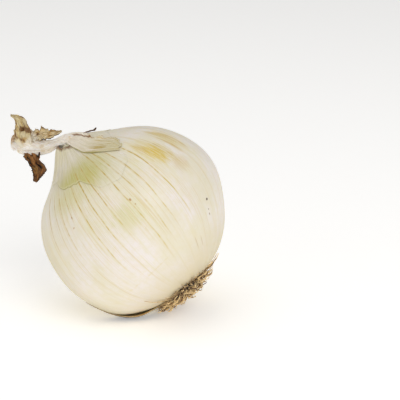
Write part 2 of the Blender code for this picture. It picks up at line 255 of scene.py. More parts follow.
class Finish:
    # a small hand for wiring a Principled material
    def __init__(self, name, roughness=0.5, **settings):
        self.material = bpy.data.materials.new(name)
        self.material.use_nodes = True
        self.tree = self.material.node_tree
        self.shader = self.tree.nodes["Principled BSDF"]
        self.set("Roughness", roughness)
        for key, value in settings.items():
            self.set(key, value)

    def set(self, socket, value):
        self.put(value, self.shader.inputs[socket])

    def put(self, value, socket):
        if isinstance(value, bpy.types.NodeSocket):
            self.tree.links.new(value, socket)
        else:
            socket.default_value = value

    def node(self, kind, inputs=None, output=0, **settings):
        made = self.tree.nodes.new(kind)
        for key, value in settings.items():
            setattr(made, key, value)
        for key, value in (inputs or {}).items():
            self.put(value, made.inputs[key])
        return made.outputs[output]

    def soften(self, weight, depth, radius=(1.0, 0.75, 0.4)):  # light that sinks in
        self.set("Subsurface Weight", weight)
        self.set("Subsurface Radius", radius)
        self.set("Subsurface Scale", depth)

    def math(self, operation, first, second=0.0):
        return self.node("ShaderNodeMath", {0: first, 1: second}, operation=operation)

    def value(self, name):  # a number carried by the mesh
        return self.node("ShaderNodeAttribute", attribute_name=name, output="Fac")

    def flatMap(self):  # across and along, from the mesh's own map
        flat = self.tree.nodes.new("ShaderNodeUVMap")
        flat.uv_map = "skinMap"
        parts = self.tree.nodes.new("ShaderNodeSeparateXYZ")
        self.tree.links.new(flat.outputs[0], parts.inputs[0])
        return parts.outputs[0], parts.outputs[1]

    def mapped(self):  # the same map as degrees around and down
        across, along = self.flatMap()
        return self.times(across, 360.0), self.times(along, 180.0)

    def place(self):
        return self.node("ShaderNodeTexCoord", output="Object")

    def vector(self, x, y, z=0.0):
        return self.node("ShaderNodeCombineXYZ", {0: x, 1: y, 2: z})

    def noise(self, vector, scale=1.0, detail=2.0, roughness=0.5, distortion=0.0):
        inputs = {"Vector": vector, "Scale": scale, "Detail": detail}
        inputs.update({"Roughness": roughness, "Distortion": distortion})
        return self.node("ShaderNodeTexNoise", inputs)

    def between(self, value, low, high, toLow=0.0, toHigh=1.0):
        inputs = {0: value, 1: low, 2: high, 3: toLow, 4: toHigh}
        return self.node("ShaderNodeMapRange", inputs, interpolation_type="SMOOTHSTEP")

    def mix(self, share, first, second, blend="MIX"):
        made = self.tree.nodes.new("ShaderNodeMix")
        made.data_type = "RGBA"
        made.blend_type = blend
        self.put(share, made.inputs[0])
        self.put(first, made.inputs[6])
        self.put(second, made.inputs[7])
        return made.outputs[2]

    def times(self, first, second):
        return self.math("MULTIPLY", first, second)

    def patch(self, around, down, centre, size, soft=0.35, ragged=None):
        # a soft-edged oval on the bulb, 1 inside and 0 outside; centre and size are degrees around and down
        a = self.math("DIVIDE", self.math("SUBTRACT", around, centre[0]), size[0])
        d = self.math("DIVIDE", self.math("SUBTRACT", down, centre[1]), size[1])
        far = self.math("SQRT", self.math("ADD", self.times(a, a), self.times(d, d)))
        if ragged is not None:
            far = self.math("ADD", far, ragged)
        return self.between(far, 1.0 - soft, 1.0 + soft, 1.0, 0.0)

    def bump(self, height, strength, distance):
        made = self.node("ShaderNodeBump", {"Height": height, "Strength": strength, "Distance": distance})
        self.set("Normal", made)


# The main veins, shared by the bulb and the skins that lie on it: each one's place around the bulb, where
# it starts and ends (degrees down), and how strong it is.
frontVeins = (
    (38, 36, 84, 0.75), (47, 41, 78, 0.6), (54, 40, 92, 0.75), (62, 44, 74, 0.8), (70, 43, 116, 0.85),
    (78, 35, 108, 0.9), (85.5, 33, 104, 0.75), (90.5, 38, 60, 0.4), (97, 24, 126, 0.85), (104, 31, 120, 0.7),
    (111, 37, 114, 0.75), (121.5, 45, 114, 0.9), (130, 56, 76, 0.35), (138, 52, 92, 0.7), (150, 50, 76, 0.6),
)


def allVeins():
    chance = random.Random(7)
    veins = list(frontVeins)
    around = 159.0
    while around < 360.0 + 31.0:
        start = chance.uniform(26, 46)
        end = start + chance.uniform(25, 75)
        veins.append((around, start, end, chance.uniform(0.3, 0.85)))
        around += chance.uniform(6.5, 11.5)
    return veins


veins = allVeins()


def hairVeins(count=150):  # faint ones between them
    chance = random.Random(19)
    made = []
    for n in range(count):
        start = chance.uniform(32, 100)
        around = 360.0 * n / count + chance.uniform(-0.8, 0.8)
        end = start + chance.uniform(25, 65)
        made.append((around, start, end, chance.uniform(0.2, 0.6)))
    return made


hairs = hairVeins()


def veinFields(around, down, lines=veins):
    # signed distance to the nearest vein in millimetres, and that vein's strength there
    shape = np.broadcast(around, down).shape
    nearest, power = np.full(shape, 99.0), np.zeros(shape)
    for n, (middle, start, end, strength) in enumerate(lines):
        wobble = 0.22 * np.sin(down * 0.09 + 2.1 * n) + 0.10 * np.sin(down * 0.27 + 3.7 * n)
        wobble = wobble + 0.30 * np.abs(wrapped(down * 7.0 + 77.0 * n)) / 180.0
        away = wrapped(around - middle - wobble) * np.sin(np.radians(np.clip(down, 3.0, 177.0)))
        away = away * math.pi / 180.0 * bulbShape["radius"] / mm
        window = smooth(down, start - 3.0, start + 5.0) * (1.0 - smooth(down, end - 26.0, end + 4.0))
        closer = np.abs(away) < np.abs(nearest)
        nearest = np.where(closer, away, nearest)
        power = np.where(closer, strength * window, power)
    return nearest, power


# broad swells and hollows of this one bulb: degrees down and around, how far each spreads, and its height
# in millimetres
swells = (
    (91, 180, 17, 45, 0.7),
    (121, 180, 17, 45, -0.9),
    (84, 8, 20, 42, -1.1),
    (112, 350, 16, 30, -0.6),
    (132, 14, 13, 28, 1.1),
    (27, 12, 11, 42, -1.0),
    (60, 100, 18, 30, 0.15),
)


def skinRelief(down, around):
    # how far the grown skin stands off the plain shape: flutes, dents, vein grooves, neck pleats and swells
    a = np.radians(around)
    body = smooth(down, 20.0, 60.0)
    flutes = 0.16 * np.sin(7 * a + 0.6) + 0.11 * np.sin(11 * a + 2.0) + 0.06 * np.sin(23 * a + 1.0)
    dents = 0.20 * np.sin(2 * a + 1.1 + down * 0.03) * np.sin(np.radians(down * 1.9))
    toRoots = smooth(down, 105.0, 165.0)
    folds = 0.10 * toRoots * np.sin(31 * a + 0.6 * np.sin(down * 0.1))
    nearest, power = veinFields(around, down)
    grooves = -0.035 * power * bell(nearest, 0.7)
    toNeck = bell(down - 12.0, 16.0)
    pleats = toNeck * (0.10 * np.sin(29 * a + 0.05 * down) + 0.08 * np.sin(47 * a + 1.0) - 0.1)
    relief = body * (flutes * 0.7 + dents * 0.6) + folds + grooves + pleats
    for middle, side, length, width, height in swells:
        relief = relief + height * bell(down - middle, length) * bell(wrapped(around - side), width)
    return mm * relief


skinLook = {
    "cream": (236, 228, 207),
    "pearl": (242, 234, 228),
    "butter": (231, 221, 184),
    "shade": (220, 210, 182),
    "vein": (196, 162, 54),
    "green": (192, 184, 76),
    "roughness": 0.38,
}

# marks on the skin, and one patch of painted shadow: their middles and half sizes in degrees around and
# down, colour and strength
stains = (
    ((130, 62), (10, 13), (226, 212, 140), 0.55),
    ((132, 66), (5, 8), (222, 190, 48), 1.0),
    ((138, 70), (4, 9), (214, 190, 100), 0.55),
    ((128, 57), (3, 6), (214, 180, 78), 0.6),
    ((151, 64), (5, 12), (216, 194, 100), 0.6),
    ((152, 60), (1.4, 9), (208, 172, 62), 0.65),
    ((147, 68), (1.0, 9), (206, 168, 70), 0.75),
    ((154.5, 66), (0.9, 10), (206, 168, 70), 0.65),
    ((138, 82), (5, 5), (214, 186, 132), 0.45),
    ((92, 84), (9, 8), (210, 206, 122), 0.5),
    ((76, 71), (8, 12), (214, 208, 136), 0.22),
    ((70, 50), (16, 8), (212, 206, 116), 0.35),
    ((108, 56), (13, 13), (206, 204, 130), 0.18),
)
specks = (
    ((139, 110), (0.85, 0.8), (92, 54, 26), 0.95),
    ((137.3, 116), (0.45, 0.5), (150, 104, 52), 0.8),
    ((137, 119), (0.5, 0.8), (150, 104, 52), 0.7),
    ((62, 62), (0.5, 0.8), (180, 128, 50), 0.6),
    ((60, 68), (0.8, 0.5), (196, 152, 80), 0.5),
    ((98, 78), (0.6, 0.9), (184, 130, 52), 0.75),
    ((98.6, 82), (0.4, 0.5), (192, 144, 72), 0.6),
    ((117, 128), (0.4, 4.5), (190, 160, 100), 0.35),
    ((122, 130), (0.4, 3.5), (190, 160, 100), 0.35),
    # not a mark: painted shadow on the bulb in the gap under the loose base strip
    ((11, 144), (6, 9), (44, 26, 12), 0.95),
)


def skinFinish(name, greenness=0.0, shoulderTone=0.5, edge=None):
    look = skinLook
    f = Finish(name, roughness=look["roughness"], IOR=1.42)
    f.soften(0.18, 4.0 * mm)
    around, down = f.mapped()
    streakPlace = f.vector(f.times(around, 0.22), f.times(down, 0.012))
    streaks = f.noise(streakPlace, 1.6, 4.0, 0.6)
    fineStreaks = f.noise(f.vector(f.times(around, 0.9), f.times(down, 0.02)), 1.0, 3.0, 0.6)
    clouds = f.noise(f.place(), 38.0, 3.0, 0.55)
    mottle = f.noise(f.place(), 420.0, 3.0, 0.6)
    colour = f.mix(f.between(clouds, 0.38, 0.64), tone(*look["cream"]), tone(*look["pearl"]))
    colour = f.mix(f.times(f.between(streaks, 0.48, 0.72), 0.55), colour, tone(*look["butter"]))
    colour = f.mix(f.times(f.between(fineStreaks, 0.5, 0.8), 0.35), colour, tone(*look["shade"]))
    colour = f.mix(f.times(f.between(mottle, 0.4, 0.65), 0.25), colour, tone(*look["butter"]))
    # a yellower foot and a greyer shoulder
    foot = f.times(f.between(down, 116.0, 158.0), 0.9)
    colour = f.mix(foot, colour, tone(218, 203, 164))
    # painted shade: a duller, darker side down and to the left, between the neck and the middle
    paintedShade = f.math("COSINE", f.times(around, math.pi / 180.0))
    paintedShade = f.times(f.between(paintedShade, 0.80, 1.0), f.between(down, 40.0, 75.0))
    colour = f.mix(f.times(paintedShade, 0.55), colour, tone(204, 190, 146))
    shoulder = f.between(down, 52.0, 16.0)
    colour = f.mix(f.times(shoulder, shoulderTone), colour, tone(230, 220, 186))
    fan = f.noise(f.vector(f.times(around, 0.55), f.times(down, 0.03), 7.0), 1.0, 3.0, 0.7)
    fan = f.times(f.between(fan, 0.46, 0.66), f.between(down, 62.0, 24.0))
    fan = f.times(fan, f.patch(around, down, (72, 30), (58, 40), 0.3))
    colour = f.mix(f.times(fan, 0.5), colour, tone(200, 192, 132))
    # ochre and green stains, drawn out along the veins
    ragged = f.noise(f.vector(f.times(around, 0.7), f.times(down, 0.09)), 1.0, 4.0, 0.7)
    ragged = f.times(f.math("SUBTRACT", ragged, 0.5), 2.2)
    threads = f.noise(f.vector(f.times(around, 1.5), f.times(down, 0.07)), 1.0, 3.0, 0.65)
    threads = f.between(threads, 0.36, 0.62, 0.35, 1.0)
    for centre, size, shade, strength in stains:
        mask = f.times(f.patch(around, down, centre, size, 0.6, ragged), threads)
        colour = f.mix(f.times(mask, strength), colour, tone(*shade))
    # green where the outer scale was shaded
    tint = f.patch(around, down, (78, 43), (28, 13.5), 0.7, f.times(ragged, 0.5))
    tint = f.times(tint, f.between(threads, 0.2, 1.0, 0.7, 1.0))
    share = f.between(around, 84.0, 92.0, greenness, 0.8)  # to the right the bulb and the collar are alike
    colour = f.mix(f.times(tint, share), colour, tone(*look["green"]))
    # veins
    wander = f.times(f.math("SUBTRACT", f.noise(f.place(), 260.0, 2.0), 0.5), 0.22)
    away = f.math("ABSOLUTE", f.math("ADD", f.value("veinAway"), wander))
    beads = f.between(f.noise(f.place(), 330.0, 2.0), 0.34, 0.62, 0.35, 1.0)
    line = f.times(f.times(f.between(away, 0.14, 0.42, 1.0, 0.0), f.value("veinPower")), beads)
    halo = f.times(f.between(away, 0.2, 1.6, 1.0, 0.0), f.times(f.value("veinPower"), 0.16))
    hairAway = f.math("ABSOLUTE", f.math("ADD", f.value("hairAway"), wander))
    hair = f.times(f.between(hairAway, 0.06, 0.30, 1.0, 0.0), f.value("hairPower"))
    colour = f.mix(f.times(hair, 0.75), colour, tone(218, 194, 130))
    colour = f.mix(halo, colour, tone(*look["butter"]))
    gold = f.mix(f.between(down, 52.0, 92.0), tone(*look["vein"]), tone(214, 190, 100))
    colour = f.mix(line, colour, gold)
    for centre, size, shade, strength in specks:
        spot = f.patch(around, down, centre, size, 0.35, f.times(ragged, 0.5))
        colour = f.mix(f.times(spot, strength), colour, tone(*shade))
    # a faint yellow line across the lower front
    across = f.math("ABSOLUTE", f.math("SUBTRACT", down, f.math("ADD", f.times(clouds, 5.0), 119.0)))
    crossing = f.patch(around, down, (76, 121), (22, 12), 0.4)
    crossing = f.times(crossing, f.between(across, 0.25, 0.8, 1.0, 0.0))
    crossing = f.times(crossing, f.between(mottle, 0.4, 0.6, 0.2, 1.0))
    colour = f.mix(f.times(crossing, 0.25), colour, tone(222, 202, 136))
    if edge:
        colour = edge(f, colour, around, down)
    f.set("Base Color", colour)
    relief = f.math("ADD", f.times(fineStreaks, 0.5), f.times(mottle, 0.25))
    relief = f.math("SUBTRACT", relief, f.times(line, 0.6))
    f.bump(relief, 0.35, 0.2 * mm)
    return f


def edgeTint(f, colour, around, down):
    # a pale line, then an olive one, along the collar's torn edge
    toEdge = f.value("toEdge")
    front = f.patch(around, down, (66, 42), (34, 12), 0.5)
    pale = f.times(f.between(toEdge, 0.93, 0.97), f.times(front, 0.5))
    colour = f.mix(pale, colour, tone(226, 219, 178))
    olive = f.times(f.between(toEdge, 0.975, 0.995), f.times(front, 0.6))
    colour = f.mix(olive, colour, tone(160, 148, 62))
    broken = f.between(f.noise(f.place(), 420.0, 2.0), 0.3, 0.55, 0.3, 1.0)
    rim = f.times(f.between(toEdge, 0.10, 0.02), broken)
    return f.mix(f.times(rim, 0.9), colour, tone(122, 80, 34))


def collarFinish():
    f = skinFinish("collarSkin", greenness=0.8, shoulderTone=0.5, edge=edgeTint)
    f.set("Roughness", 0.36)
    f.set("Subsurface Weight", 0.03)
    return f


def sheathFinish():
    f = Finish("sheathSkin", roughness=0.5)
    f.soften(0.03, 3.0 * mm)
    across, along = f.value("lowerEdge"), f.value("along")
    fan = f.noise(f.vector(f.times(across, 9.0), f.times(along, 1.3)), 1.0, 3.0, 0.6)
    fine = f.noise(f.vector(f.times(across, 34.0), f.times(along, 2.5)), 1.0, 2.0, 0.6)
    mottle = f.noise(f.place(), 520.0, 3.0, 0.6)
    colour = f.mix(f.between(fan, 0.35, 0.65), tone(240, 229, 208), tone(224, 214, 182))
    lines = f.times(f.between(fine, 0.50, 0.58), f.between(along, 0.2, 0.7, 0.2, 1.0))
    colour = f.mix(lines, colour, tone(190, 160, 74))
    colour = f.mix(f.times(f.between(mottle, 0.5, 0.75), 0.25), colour, tone(236, 228, 212))
    # paler and pinker by the neck, greener out on the tongue
    colour = f.mix(f.times(f.between(along, 0.42, 0.08), 0.75), colour, tone(243, 232, 214))
    colour = f.mix(f.times(f.between(along, 0.5, 0.9), 0.4), colour, tone(200, 192, 138))
    fold = f.times(f.between(along, 0.1, 0.3), f.between(along, 1.0, 0.55))
    fold = f.times(fold, f.between(across, 0.06, 0.02))
    colour = f.mix(f.times(fold, 0.85), colour, tone(158, 146, 44))
    # brown along the curled upper edge, strongest by the neck: partly the torn edge's own brown and partly
    # painted shadow under the curl
    torn = f.times(f.between(across, 0.94, 0.985), f.between(along, 0.62, 0.4, 0.25, 1.0))
    colour = f.mix(f.times(torn, 0.9), colour, tone(174, 130, 58))
    # a raised flap by the neck: its lip paler, partly its own pale skin and partly painted highlight, with
    # painted shadow in a dark brown line just below it
    flap = f.math("SUBTRACT", across, f.math("ADD", f.times(along, 1.5), 0.58))
    raised = f.times(f.between(flap, 0.0, 0.06), f.between(along, 0.5, 0.3))
    colour = f.mix(f.times(raised, 0.6), colour, tone(248, 242, 230))
    paintedShade = f.times(f.between(flap, -0.07, 0.0), f.between(flap, 0.03, 0.0))
    colour = f.mix(f.times(f.times(paintedShade, f.between(along, 0.34, 0.24)), 0.9), colour, tone(132, 80, 26))
    f.set("Base Color", colour)
    f.bump(f.math("ADD", fine, f.times(mottle, 0.4)), 0.35, 0.15 * mm)
    return f


def dryFinish(name, look, darkness=1.0, edged=True):
    # dry papery skin: streaks along its length, brown creases and edges, gold patches, painted shade in the
    # fold valleys and painted highlight on the ridges
    f = Finish(name, roughness=0.6)
    f.soften(0.06, 2.0 * mm, (1.0, 0.6, 0.3))
    across, along = f.flatMap()
    streaks = f.noise(f.vector(f.times(across, 1.3), f.times(along, 0.16)), 1.0, 4.0, 0.65, 0.4)
    creases = f.noise(f.vector(f.times(across, 2.6), f.times(along, 0.35), 4.0), 1.0, 3.0, 0.6, 0.8)
    blots = f.noise(f.place(), 260.0, 3.0, 0.6)
    grit = f.noise(f.place(), 1500.0, 2.0, 0.6)
    colour = f.mix(f.between(streaks, 0.36, 0.66), tone(*look["base"]), tone(*look["light"]))
    colour = f.mix(f.times(f.between(blots, 0.5, 0.68), 0.6), colour, tone(*look["gold"]))
    line = f.math("ABSOLUTE", f.math("SUBTRACT", creases, 0.5))
    line = f.between(line, 0.012, 0.05, 1.0, 0.0)
    colour = f.mix(f.times(line, 0.55 * darkness), colour, tone(*look["dark"]))
    specks = f.between(grit, 0.66, 0.74)
    colour = f.mix(f.times(specks, 0.5 * darkness), colour, tone(*look["dark"]))
    # painted shade in the valleys and painted highlight on the ridges, by the fold depth the piece carries
    foldShade = f.between(f.value("fold"), -0.15, -1.1)
    foldHighlight = f.between(f.value("fold"), 0.35, 1.2)
    colour = f.mix(f.times(foldShade, 0.8 * darkness), colour, tone(*look["dark"]))
    colour = f.mix(f.times(foldHighlight, 0.45), colour, tone(*look["light"]))
    if edged:
        edge = f.times(f.value("edge"), f.between(blots, 0.35, 0.6, 0.3, 1.0))
        share = look.get("edgeShare", 0.7 * darkness)
        colour = f.mix(f.times(edge, share), colour, tone(*look.get("edge", look["dark"])))
    for key in ("pale", "lowerShade", "inner"):  # parts that the piece itself marks: its pale foot, and painted shade along a lower edge or on an inner face
        if key in look:
            colour = f.mix(f.value(key), colour, tone(*look[key]))
    f.set("Base Color", colour)
    relief = f.math("ADD", streaks, f.times(grit, 0.3))
    f.bump(f.math("SUBTRACT", relief, f.times(line, 0.6)), 0.5, 0.3 * mm)
    return f


def rootFinish(name):
    f = Finish(name, roughness=0.7)
    strand = f.value("strand")
    length = f.noise(f.place(), 700.0, 3.0, 0.6)
    colour = f.mix(f.between(strand, 0.1, 0.45), tone(92, 50, 20), tone(255, 224, 164))
    colour = f.mix(f.times(f.between(length, 0.48, 0.64), 0.5), colour, tone(108, 62, 26))
    colour = f.mix(f.times(f.between(length, 0.5, 0.3), 0.4), colour, tone(248, 226, 184))
    # painted shade: each root darker towards its foot, deep in the mat
    colour = f.mix(f.times(f.between(f.value("along"), 0.45, 0.1), 0.75), colour, tone(48, 26, 12))
    f.set("Base Color", colour)
    f.bump(length, 0.4, 0.2 * mm)
    return f


bulbDetail = {"rings": 232, "columns": 372}


def makeBulb():
    rings, columns = bulbDetail["rings"], bulbDetail["columns"]
    downs = 180.0 * np.arange(1, rings) / rings
    arounds = 360.0 * np.arange(columns) / columns
    around, down = np.meshgrid(arounds, downs)
    places = onSkin(down, around, skinRelief(down, around))
    poles = np.stack([plainSkin(np.array(0.01), np.array(0.0)), plainSkin(np.array(179.99), np.array(0.0))])
    rows = rings - 1
    faces, corners = gridFaces(rows, columns, True)
    top, bottom, last = rows * columns, rows * columns + 1, (rows - 1) * columns
    for i in range(columns):
        k = (i + 1) % columns
        faces += [[top, i, k], [bottom, last + k, last + i]]
        corners += [(i + 0.5, -1), (i, 0), (i + 1, 0)]
        corners += [(i + 0.5, rows), (i + 1, rows - 1), (i, rows - 1)]
    cornerMap = np.array(corners, float)
    cornerMap[:, 0] /= columns
    cornerMap[:, 1] = (cornerMap[:, 1] + 1) / rings
    places = np.concatenate([places.reshape(-1, 3), poles])
    places = aboveFloor(places, bulbFrame)
    values = {}
    for kind, lines in (("vein", veins), ("hair", hairs)):
        away, power = veinFields(around, down, lines)
        values[kind + "Away"] = np.append(away.ravel(), [9, 9])  # the last two are the poles
        values[kind + "Power"] = np.append(power.ravel(), [0, 0])
    bulb = newPiece("bulb_flesh", places, faces, bulbFrame, cornerMap, values)
    bulb.data.materials.append(skinFinish("onionSkin", greenness=0.3).material)
    return bulb


bulb = makeBulb()
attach(bulb, "root")
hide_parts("bulb")
print("bulb:", len(bulb.data.polygons), "faces")


# the collar is what is left of the outermost scale
collar = {
    "rimDown": 12.0,
    "rimStand": 2.0,  # millimetres, where the neck bends over and the rim stands free
    "standDown": 5.5,
    "thickness": 0.18 * mm,
    "off": 0.03 * mm,
    "tornEdge": (  # degrees around and down
        (0, 22), (42, 29), (52, 32), (58, 39), (63, 42), (74, 44), (80, 45), (84, 52), (90, 60), (104, 63),
        (115, 58), (122, 43), (140, 29), (165, 22), (195, 27), (210, 23), (245, 30), (262, 24), (300, 22),
        (330, 26), (360, 21),
    ),
}


def ringRipple(around, rate, seed):  # a ripple that closes on itself round the bulb
    a = np.radians(around)
    return ripple(rate * np.cos(a), rate * np.sin(a), seed)


def collarEdge(around):  # degrees down
    arounds, downs = zip(*collar["tornEdge"])
    edge = np.interp(around % 360.0, arounds, downs)
    for share, rate, seed in ((0.7, 9, 71), (0.5, 34, 72), (0.25, 110, 73)):
        edge = edge + share * ringRipple(around, rate, seed)
    return edge


def rimStand(down, around):
    side = bell(np.radians(wrapped(around - 18.0)), 0.9)
    return collar["rimStand"] * mm * side * bell(np.radians(down - collar["standDown"]), 0.125)


def skinLift(down, around):  # the collar's inner face
    return skinRelief(down, around) + rimStand(down, around) + collar["off"]


def bulbMap(spot):  # for a sheet that lies on the bulb and shares its map
    def mapOf(u, v):
        down, around = spot(u, v)
        return around / 360.0, down / 180.0

    return mapOf


def makeCollar():
    def spot(u, v):
        around = 360.0 * u
        bent = bell(wrapped(around - 22.0), 48.0)  # where the neck bends over, the rim climbs further up it
        top = collar["rimDown"] - 1.2 - 5.0 * bent + (1.4 - 0.9 * bent) * ringRipple(around, 5, 3)
        return top + (collarEdge(around) - top) * v, around

    def thin(u, v):
        return collar["thickness"] * (1.0 - 0.7 * smooth(v, 0.5, 1.0))

    def surface(u, v):
        down, around = spot(u, v)
        a = np.radians(around)
        fan = 0.07 * np.sin(37 * a) + 0.10 * crease(26 * a + 0.3 * np.sin(9 * a))
        fan = fan * bell(down - 16.0, 16.0)
        curl = 0.16 * smooth(v, 0.88, 1.0) * smooth(ripple(around * 0.11, 0 * around, 11), -0.4, 0.9)
        curl = curl * (1.0 - bell(wrapped(around - 104.0), 19.0))
        return onSkin(down, around, skinLift(down, around) + thin(u, v) + mm * (fan + curl))

    def carried(lines, part):
        return lambda u, v: veinFields(*spot(u, v)[::-1], lines)[part]

    values = {"toEdge": lambda u, v: v}
    for kind, lines in (("vein", veins), ("hair", hairs)):
        values[kind + "Away"] = carried(lines, 0)
        values[kind + "Power"] = carried(lines, 1)
    made = sheetPiece("torn_outer_scale", surface, 52, 720, thin, bulbFrame, True, bulbMap(spot), values)
    made.data.materials.append(collarFinish().material)
    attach(made, "root")
    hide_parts("torn_collar")
    print("collar:", len(made.data.polygons), "faces")


# the sheath is the dry sheet that runs from the neck out over the collar as a tongue
sheath = {
    # degrees down, then where it starts and ends around the bulb
    "tongue": (
        (5, 84, 168), (12, 92, 145), (19, 96, 131), (25, 98, 132), (30, 102, 133), (36, 107.5, 132),
        (41, 112, 129), (47, 119, 124.5),
    ),
    "thickness": 0.2 * mm,
}


def makeSheath():
    def spot(u, v):
        line = through(sheath["tongue"], v)
        down, start, end = line[..., 0], line[..., 1], line[..., 2]
        torn = smooth(u, 0.8, 1.0) * (1.6 * ripple(v * 30, v * 0, 5) + 0.8 * ripple(v * 90, v * 0, 6))
        return down + 0.8 * ripple(u * 8, v * 3, 9) * smooth(v, 0.85, 1.0), start + (end - start) * u + torn

    def surface(u, v):
        down, around = spot(u, v)
        roll = bell(u, 0.10) * 0.22 * smooth(v, 0.02, 0.2)  # the folded lower edge
        bulge = 1.5 * bell(u - 0.92, 0.14) * bell(v - 0.44, 0.09)
        bulge = bulge + 0.9 * bell(u - 0.7, 0.2) * bell(v - 0.1, 0.2)
        flap = u - 0.58 - 1.5 * v
        bulge = bulge + 1.1 * smooth(flap, -0.01, 0.04) * (1.0 - smooth(v, 0.26, 0.42))
        wrinkles = 0.16 * crease(u * 26 + 1.2 * np.sin(v * 5)) + 0.10 * ripple(u * 16, v * 9, 21)
        crinkle = 0.35 * smooth(u, 0.62, 0.9) * bell(v - 0.16, 0.25) * ripple(u * 22, v * 40, 8)
        lift = skinLift(down, around) + collar["thickness"] + sheath["thickness"]
        return onSkin(down, around, lift + mm * (0.10 + roll + bulge + wrinkles + crinkle))

    values = {"lowerEdge": lambda u, v: u, "along": lambda u, v: v}
    thin = sheath["thickness"]
    made = sheetPiece("neck_sheath", surface, 150, 110, thin, bulbFrame, False, bulbMap(spot), values)
    made.data.materials.append(sheathFinish().material)
    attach(made, "root")
    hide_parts("sheath_tongue")
    print("sheath:", len(made.data.polygons), "faces")


# a made-up fold depth that the sheet's shape doesn't follow; dryFinish's painted fold shade and highlight
# fall by it in random patches
def plainFold(u, v):
    return 0.9 * ripple(u * 14, v * 14, 91) + 0.2


def edgeOf(u, v):  # 0 inside a sheet, 1 at its edges
    return np.maximum.reduce([1 - smooth(u, 0, 0.12), smooth(u, 0.88, 1), smooth(v, 0.92, 1)])


sheetValues = {"edge": edgeOf, "fold": plainFold}

# the dark shred of skin behind the neck
shred = {
    "down": 7.5,  # degrees, where it starts, and how far it runs
    "run": 9.5,
    "around": 172.0,
    "width": 18.0,  # degrees at its foot, and at its tip
    "tipWidth": 6.0,
    "thickness": 0.25 * mm,
    "look": {"base": (92, 58, 34), "light": (150, 106, 62), "dark": (52, 30, 18), "gold": (128, 88, 44)},
}


def makeBackShred():
    def surface(u, v):
        down = shred["down"] + shred["run"] * v + 0.3 * ripple(u * 14, v * 2, 31)
        width = shred["width"] + (shred["tipWidth"] - shred["width"]) * v
        around = shred["around"] + width * u + ripple(v * 9, u * 0, 32)
        rise = 0.5 + 0.9 * v + 0.10 * ripple(u * 8, v * 12, 33) + 0.6 * smooth(v, 0.85, 1.0)
        return onSkin(down, around, skinRelief(down, around) + mm * rise)

    def size(u, v):
        return u * 6.0, v * 8.0

    thin = shred["thickness"]
    made = sheetPiece("dark_shred", surface, 60, 50, thin, bulbFrame, False, size, sheetValues)
    made.data.materials.append(dryFinish("shredSkin", shred["look"]).material)
    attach(made, "root")
    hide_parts("back_shred")
    print("shred:", len(made.data.polygons), "faces")


# the strip of skin that has come loose under the bulb and is still held at the roots
strip = {
    "down": 162.0,  # degrees, where it starts, and how far it runs up the bulb
    "run": 52.0,
    "around": 17.0,
    "sag": 1.15,  # millimetres
    "thickness": 0.14 * mm,
    "thicker": 0.42 * mm,  # added where it sags
    "look": {
        "base": (232, 204, 142), "light": (246, 228, 182), "dark": (176, 132, 66), "gold": (210, 166, 90),
        # painted shade: its inner face near-black, for the dark gap between it and the bulb
        "inner": (36, 20, 10),
    },
}


def makeBaseSkin():
    def surface(u, v):
        down = strip["down"] - strip["run"] * v
        half = 11.0 * (1.0 - v) ** 1.1 + 0.9 + 0.5 * ripple(v * 14, v * 0, 41) * (1.0 - v)
        around = strip["around"] - 6.0 * v + half * (2 * u - 1)
        rise = strip["sag"] * bell(v - 0.38, 0.19) * smooth(u, 0.0, 0.5)  # its far edge lies on the bulb
        rise = rise + 0.12 + 0.08 * ripple(u * 8, v * 18, 43) * (1.0 - v)
        return aboveFloor(onSkin(down, around, skinRelief(down, around) + mm * rise), bulbFrame, 0.25 * mm)

    def size(u, v):
        return u * 7.0, v * 40.0

    def thick(u, v):
        return strip["thickness"] + strip["thicker"] * bell(v - 0.3, 0.2)

    made = sheetPiece("base_strip", surface, 150, 40, thick, bulbFrame, False, size, sheetValues)
    made.data.materials.append(dryFinish("baseStripSkin", strip["look"]).material)
    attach(made, "root")
    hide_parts("base_skin")
    print("base strip:", len(made.data.polygons), "faces")


# the bent, dried neck
stalk = {
    # x, y, half height and half depth in millimetres, in the neck's plane
    "line": (
        (4.5, 2.8, 3.8, 5.6),
        (1.5, 3.2, 3.5, 4.9),
        (-2.0, 2.8, 3.3, 4.6),
        (-5.0, 2.0, 2.7, 4.0),
        (-7.5, 1.4, 2.2, 3.2),
        (-10.5, 0.2, 2.8, 2.8),
        (-13.5, -0.3, 3.3, 2.9),
        (-17.0, 0.1, 4.4, 3.1),
        (-20.5, 1.1, 4.9, 3.1),
        (-24.0, 2.0, 4.3, 2.8),
        (-26.6, 2.4, 3.4, 2.2),
        (-28.2, 2.6, 2.0, 1.5),
    ),
    "steps": 190,
    "sides": 150,
    "goldEdge": (2.5, 0.57, 27.1),  # the golden end's lower edge: its height, its slope, and -x there
    "look": {
        "base": (248, 238, 222), "light": (255, 252, 247), "dark": (186, 142, 82), "gold": (232, 210, 164),
        "edge": (184, 136, 64), "edgeShare": 0.95,
    },
}


